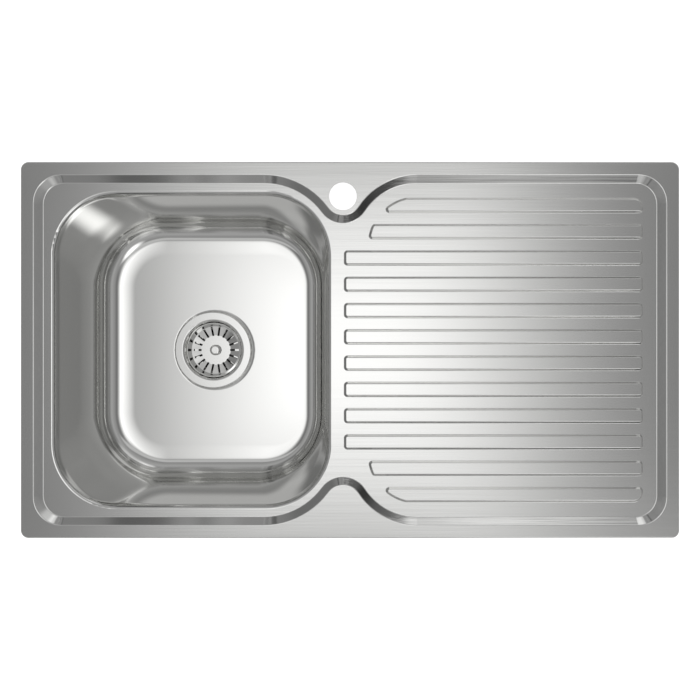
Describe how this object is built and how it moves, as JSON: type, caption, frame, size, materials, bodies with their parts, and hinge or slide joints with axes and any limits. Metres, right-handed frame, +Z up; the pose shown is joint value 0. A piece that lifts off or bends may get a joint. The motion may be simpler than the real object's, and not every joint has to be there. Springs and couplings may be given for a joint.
{
  "type": "inset kitchen sink with drainboard",
  "caption": "Inset steel kitchen sink with one deep rounded bowl, ribbed drainboard, tap hole, basket strainer waste and worktop clips.",
  "frame": {"origin": "centre of the outline, on the plane where the rim meets the worktop", "axes": "+X along the sink from the bowl to the drainboard, +Y to the back with the tap hole, +Z up"},
  "size_m": [0.84, 0.48, 0.2568],
  "materials": {
    "satin_steel": "satin, finely brushed along the length",
    "bowl_steel": "satin, deep drawn, brighter at the bends",
    "polished_steel": "polished stainless steel",
    "screw_steel": "turned stainless steel",
    "bracket_steel": "plain rolled steel, spot welded",
    "zinc_plate": "bright zinc plate",
    "brass": "turned",
    "foam_strip": "closed-cell foam",
    "sound_pad": "bitumen felt",
    "black_rubber": "moulded",
    "white_plastic": "moulded polypropylene"
  },
  "bodies": {
    "sink": {"sink_deck": "satin_steel", "sink_bowl": "bowl_steel", "rim_seal": "foam_strip", "bowl_sound_pads": "sound_pad", "board_sound_pads": "sound_pad", "clip_brackets": "bracket_steel", "clip_bolts": "zinc_plate", "waste_cup": "polished_steel", "upper_gasket": "black_rubber", "lower_gasket": "black_rubber", "waste_body": "white_plastic", "waste_insert": "brass", "waste_screw": "screw_steel"},
    "strainer": {"strainer_basket": "polished_steel", "basket_knob": "polished_steel", "basket_stem": "screw_steel", "basket_seal": "black_rubber", "basket_washer": "screw_steel", "basket_clip_ring": "screw_steel"},
    "clip_carriage_1": {"clip_washer_1": "zinc_plate"},
    "clip_claw_1": {"clip_claw_1": "zinc_plate"},
    "clip_nut_1": {"clip_nut_1": "zinc_plate"},
    "clip_carriage_2": {"clip_washer_2": "zinc_plate"},
    "clip_claw_2": {"clip_claw_2": "zinc_plate"},
    "clip_nut_2": {"clip_nut_2": "zinc_plate"},
    "clip_carriage_3": {"clip_washer_3": "zinc_plate"},
    "clip_claw_3": {"clip_claw_3": "zinc_plate"},
    "clip_nut_3": {"clip_nut_3": "zinc_plate"},
    "clip_carriage_4": {"clip_washer_4": "zinc_plate"},
    "clip_claw_4": {"clip_claw_4": "zinc_plate"},
    "clip_nut_4": {"clip_nut_4": "zinc_plate"},
    "clip_carriage_5": {"clip_washer_5": "zinc_plate"},
    "clip_claw_5": {"clip_claw_5": "zinc_plate"},
    "clip_nut_5": {"clip_nut_5": "zinc_plate"},
    "clip_carriage_6": {"clip_washer_6": "zinc_plate"},
    "clip_claw_6": {"clip_claw_6": "zinc_plate"},
    "clip_nut_6": {"clip_nut_6": "zinc_plate"},
    "clip_carriage_7": {"clip_washer_7": "zinc_plate"},
    "clip_claw_7": {"clip_claw_7": "zinc_plate"},
    "clip_nut_7": {"clip_nut_7": "zinc_plate"},
    "clip_carriage_8": {"clip_washer_8": "zinc_plate"},
    "clip_claw_8": {"clip_claw_8": "zinc_plate"},
    "clip_nut_8": {"clip_nut_8": "zinc_plate"}
  },
  "joints": [
    {"name": "strainer_lift", "type": "slide", "parent": "sink", "child": "strainer", "axis": [0, 0, 1], "range_m": [0, 0.2]},
    {"name": "clip_lift_1", "type": "slide", "parent": "sink", "child": "clip_carriage_1", "axis": [0, 0, 1], "range_m": [0, 0.018]},
    {"name": "clip_swing_1", "type": "hinge", "parent": "clip_carriage_1", "child": "clip_claw_1", "pos_m": [-0.3892, -0.11, -0.053], "axis": [0, 0, 1], "range_deg": [0, 90]},
    {"name": "clip_nut_turn_1", "type": "hinge", "parent": "clip_carriage_1", "child": "clip_nut_1", "pos_m": [-0.3892, -0.11, -0.057], "axis": [0, 0, 1], "range_deg": [0, 8110]},
    {"name": "clip_lift_2", "type": "slide", "parent": "sink", "child": "clip_carriage_2", "axis": [0, 0, 1], "range_m": [0, 0.018]},
    {"name": "clip_swing_2", "type": "hinge", "parent": "clip_carriage_2", "child": "clip_claw_2", "pos_m": [-0.3892, 0.11, -0.053], "axis": [0, 0, -1], "range_deg": [0, 90]},
    {"name": "clip_nut_turn_2", "type": "hinge", "parent": "clip_carriage_2", "child": "clip_nut_2", "pos_m": [-0.3892, 0.11, -0.057], "axis": [0, 0, 1], "range_deg": [0, 8110]},
    {"name": "clip_lift_3", "type": "slide", "parent": "sink", "child": "clip_carriage_3", "axis": [0, 0, 1], "range_m": [0, 0.018]},
    {"name": "clip_swing_3", "type": "hinge", "parent": "clip_carriage_3", "child": "clip_claw_3", "pos_m": [0.3892, -0.11, -0.053], "axis": [0, 0, -1], "range_deg": [0, 90]},
    {"name": "clip_nut_turn_3", "type": "hinge", "parent": "clip_carriage_3", "child": "clip_nut_3", "pos_m": [0.3892, -0.11, -0.057], "axis": [0, 0, 1], "range_deg": [0, 8110]},
    {"name": "clip_lift_4", "type": "slide", "parent": "sink", "child": "clip_carriage_4", "axis": [0, 0, 1], "range_m": [0, 0.018]},
    {"name": "clip_swing_4", "type": "hinge", "parent": "clip_carriage_4", "child": "clip_claw_4", "pos_m": [0.3892, 0.11, -0.053], "axis": [0, 0, 1], "range_deg": [0, 90]},
    {"name": "clip_nut_turn_4", "type": "hinge", "parent": "clip_carriage_4", "child": "clip_nut_4", "pos_m": [0.3892, 0.11, -0.057], "axis": [0, 0, 1], "range_deg": [0, 8110]},
    {"name": "clip_lift_5", "type": "slide", "parent": "sink", "child": "clip_carriage_5", "axis": [0, 0, 1], "range_m": [0, 0.018]},
    {"name": "clip_swing_5", "type": "hinge", "parent": "clip_carriage_5", "child": "clip_claw_5", "pos_m": [-0.27, -0.2092, -0.053], "axis": [0, 0, -1], "range_deg": [0, 90]},
    {"name": "clip_nut_turn_5", "type": "hinge", "parent": "clip_carriage_5", "child": "clip_nut_5", "pos_m": [-0.27, -0.2092, -0.057], "axis": [0, 0, 1], "range_deg": [0, 8110]},
    {"name": "clip_lift_6", "type": "slide", "parent": "sink", "child": "clip_carriage_6", "axis": [0, 0, 1], "range_m": [0, 0.018]},
    {"name": "clip_swing_6", "type": "hinge", "parent": "clip_carriage_6", "child": "clip_claw_6", "pos_m": [0.23, -0.2092, -0.053], "axis": [0, 0, 1], "range_deg": [0, 90]},
    {"name": "clip_nut_turn_6", "type": "hinge", "parent": "clip_carriage_6", "child": "clip_nut_6", "pos_m": [0.23, -0.2092, -0.057], "axis": [0, 0, 1], "range_deg": [0, 8110]},
    {"name": "clip_lift_7", "type": "slide", "parent": "sink", "child": "clip_carriage_7", "axis": [0, 0, 1], "range_m": [0, 0.018]},
    {"name": "clip_swing_7", "type": "hinge", "parent": "clip_carriage_7", "child": "clip_claw_7", "pos_m": [-0.27, 0.2092, -0.053], "axis": [0, 0, 1], "range_deg": [0, 90]},
    {"name": "clip_nut_turn_7", "type": "hinge", "parent": "clip_carriage_7", "child": "clip_nut_7", "pos_m": [-0.27, 0.2092, -0.057], "axis": [0, 0, 1], "range_deg": [0, 8110]},
    {"name": "clip_lift_8", "type": "slide", "parent": "sink", "child": "clip_carriage_8", "axis": [0, 0, 1], "range_m": [0, 0.018]},
    {"name": "clip_swing_8", "type": "hinge", "parent": "clip_carriage_8", "child": "clip_claw_8", "pos_m": [0.23, 0.2092, -0.053], "axis": [0, 0, -1], "range_deg": [0, 90]},
    {"name": "clip_nut_turn_8", "type": "hinge", "parent": "clip_carriage_8", "child": "clip_nut_8", "pos_m": [0.23, 0.2092, -0.057], "axis": [0, 0, 1], "range_deg": [0, 8110]}
  ],
  "couplings": [
    {"joint": "clip_nut_turn_1", "follows": "clip_lift_1", "rad_per_m": 7854},
    {"joint": "clip_nut_turn_2", "follows": "clip_lift_2", "rad_per_m": 7854},
    {"joint": "clip_nut_turn_3", "follows": "clip_lift_3", "rad_per_m": 7854},
    {"joint": "clip_nut_turn_4", "follows": "clip_lift_4", "rad_per_m": 7854},
    {"joint": "clip_nut_turn_5", "follows": "clip_lift_5", "rad_per_m": 7854},
    {"joint": "clip_nut_turn_6", "follows": "clip_lift_6", "rad_per_m": 7854},
    {"joint": "clip_nut_turn_7", "follows": "clip_lift_7", "rad_per_m": 7854},
    {"joint": "clip_nut_turn_8", "follows": "clip_lift_8", "rad_per_m": 7854}
  ]
}
